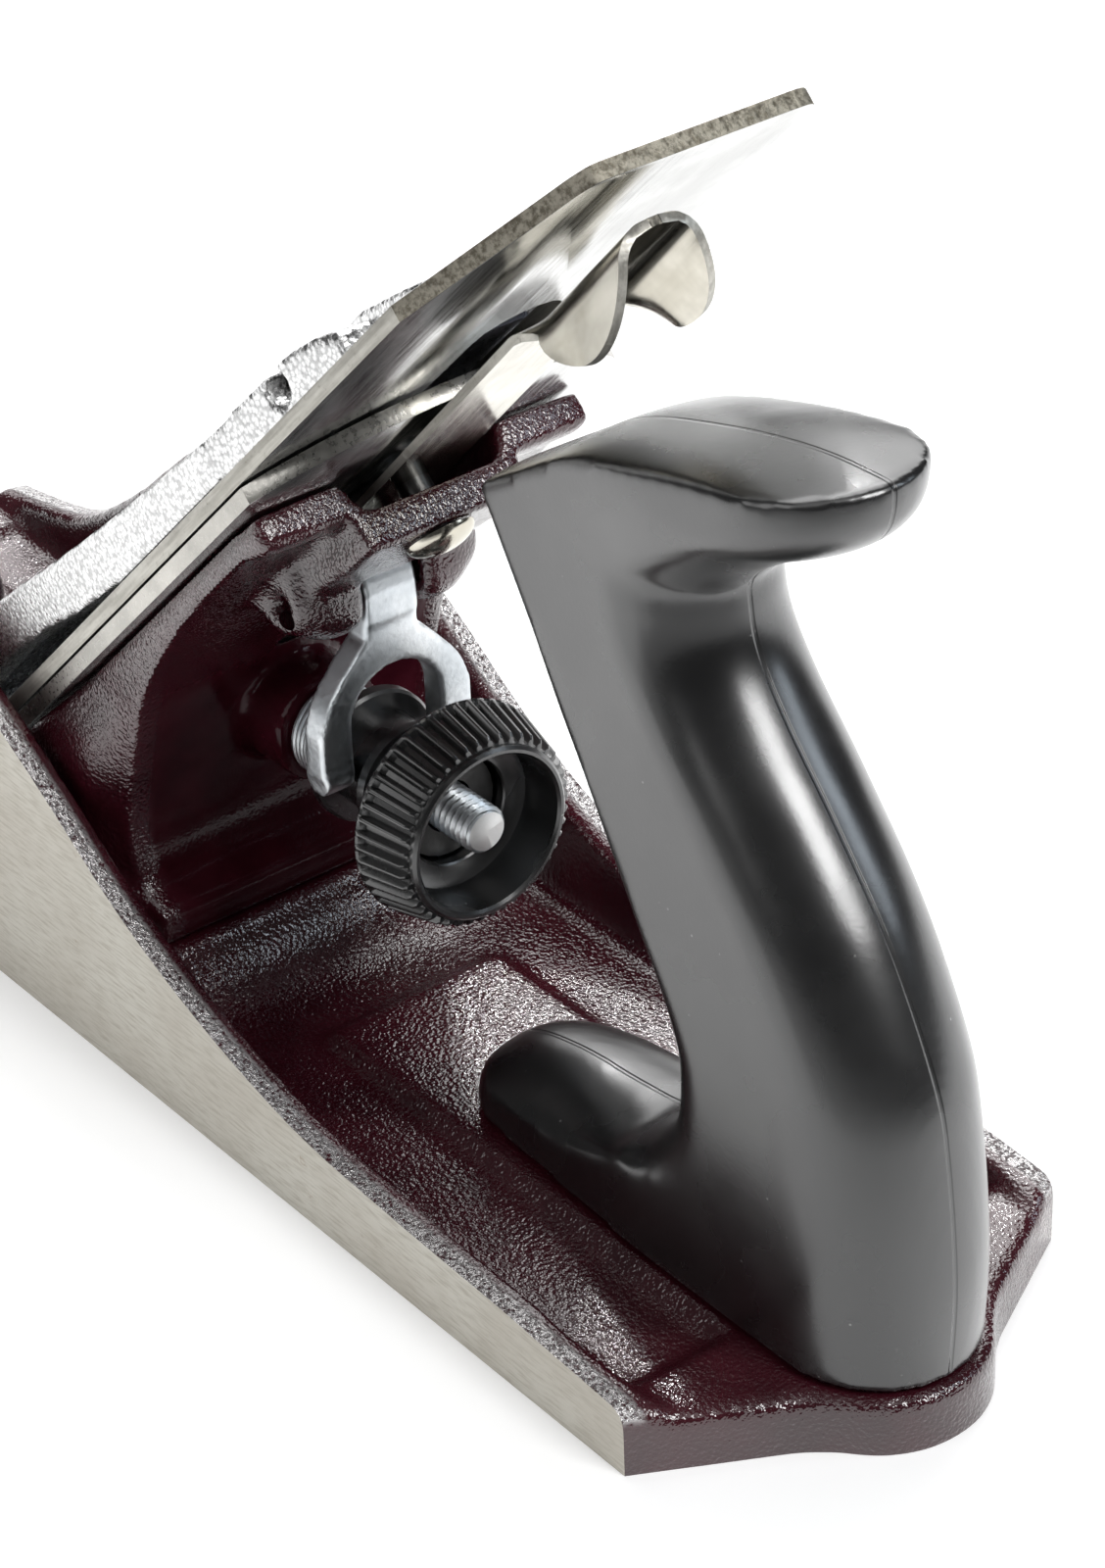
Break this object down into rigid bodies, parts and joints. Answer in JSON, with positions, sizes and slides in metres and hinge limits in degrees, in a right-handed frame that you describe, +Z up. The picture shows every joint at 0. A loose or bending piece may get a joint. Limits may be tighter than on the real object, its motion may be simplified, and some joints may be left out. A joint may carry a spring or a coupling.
{
  "type": "bench plane",
  "caption": "Hand bench plane: cast body with humped cheeks, sloping irons on a frog, lever cap with cam, ribbed depth wheel, yoke, lateral lever, moulded tote and knob.",
  "frame": {"origin": "on the sole, midway along the length and the width", "axes": "+X to the toe, +Y to the left cheek, +Z up from the sole"},
  "size_m": [0.239, 0.062, 0.139],
  "materials": {
    "body_casting": "enamelled inside, ground sides and sole",
    "frog": "enamelled",
    "frog_screw_left": "plain",
    "frog_screw_right": "plain",
    "frog_washer_left": "zinc plated",
    "frog_washer_right": "zinc plated",
    "cutter": "ground",
    "cap_iron": "polished",
    "cap_iron_screw": "plain",
    "yoke": "zinc plated",
    "yoke_pin": "plain",
    "depth_stud": "zinc plated",
    "wheel_bush": "zinc plated",
    "depth_wheel": "satin moulded",
    "lateral_lever": "nickel plated",
    "lateral_rivet": "nickel plated",
    "lateral_disc": "plain",
    "lever_cap": "hammered",
    "lever_cap_screw": "plain",
    "lever_cap_spring": "blued",
    "spring_rivet": "plain",
    "cam_lever": "hammered",
    "cam_pin": "plain",
    "tote": "satin moulded",
    "front_knob": "satin moulded",
    "tote_front_screw": "zinc plated",
    "tote_rear_screw": "zinc plated",
    "knob_screw": "zinc plated",
    "tote_front_insert": "knurled",
    "tote_rear_insert": "knurled",
    "knob_insert": "knurled"
  },
  "bodies": {
    "body": {"body_casting": "body_casting", "frog_screw_left": "frog_screw_left", "frog_screw_right": "frog_screw_right", "frog_washer_left": "frog_washer_left", "frog_washer_right": "frog_washer_right", "tote": "tote", "tote_front_screw": "tote_front_screw", "tote_rear_screw": "tote_rear_screw", "tote_front_insert": "tote_front_insert", "tote_rear_insert": "tote_rear_insert", "front_knob": "front_knob", "knob_screw": "knob_screw", "knob_insert": "knob_insert"},
    "frog": {"frog": "frog", "lever_cap_screw": "lever_cap_screw", "yoke_pin": "yoke_pin", "depth_stud": "depth_stud", "lateral_rivet": "lateral_rivet", "lever_cap": "lever_cap", "lever_cap_spring": "lever_cap_spring", "spring_rivet": "spring_rivet", "cam_pin": "cam_pin"},
    "bush": {"wheel_bush": "wheel_bush"},
    "wheel": {"depth_wheel": "depth_wheel"},
    "yoke": {"yoke": "yoke"},
    "lateral": {"lateral_lever": "lateral_lever", "lateral_disc": "lateral_disc"},
    "iron_screw": {"cap_iron_screw": "cap_iron_screw"},
    "irons": {"cutter": "cutter", "cap_iron": "cap_iron"},
    "cam": {"cam_lever": "cam_lever"}
  },
  "joints": [
    {"name": "frog_slide", "type": "slide", "parent": "body", "child": "frog", "axis": [1, 0, 0], "range_m": [0, 0.0015]},
    {"name": "wheel_travel", "type": "slide", "parent": "frog", "child": "bush", "axis": [1, 0, 0], "range_m": [-0.0026, 0.0026]},
    {"name": "wheel_spin", "type": "hinge", "parent": "bush", "child": "wheel", "pos_m": [-0.02966, 0, 0.0376], "axis": [1, 0, 0], "range_deg": [-900, 900]},
    {"name": "yoke_tilt", "type": "hinge", "parent": "frog", "child": "yoke", "pos_m": [-0.02046, 0, 0.06251], "axis": [0, 1, 0], "range_deg": [-6, 6]},
    {"name": "iron_depth", "type": "slide", "parent": "frog", "child": "iron_screw", "axis": [0.7071, 0, -0.7071], "range_m": [-0.00089, 0.00089]},
    {"name": "lateral_swing", "type": "hinge", "parent": "frog", "child": "lateral", "pos_m": [-0.02894, 0, 0.07835], "axis": [0.7071, 0, 0.7071], "range_deg": [-2, 12]},
    {"name": "iron_skew", "type": "hinge", "parent": "iron_screw", "child": "irons", "pos_m": [-0.0049, 0, 0.06463], "axis": [0.7071, 0, 0.7071], "range_deg": [-0.9, 0.2]},
    {"name": "cam_swing", "type": "hinge", "parent": "frog", "child": "cam", "pos_m": [-0.03608, 0, 0.10062], "axis": [0, 1, 0], "range_deg": [0, 100]}
  ],
  "couplings": [
    {"joint": "wheel_spin", "follows": "iron_depth", "rad_per_m": 17585},
    {"joint": "wheel_travel", "follows": "iron_depth", "ratio": -2.7988},
    {"joint": "yoke_tilt", "follows": "iron_depth", "rad_per_m": 112.36},
    {"joint": "iron_skew", "follows": "lateral_swing", "ratio": -0.07}
  ]
}
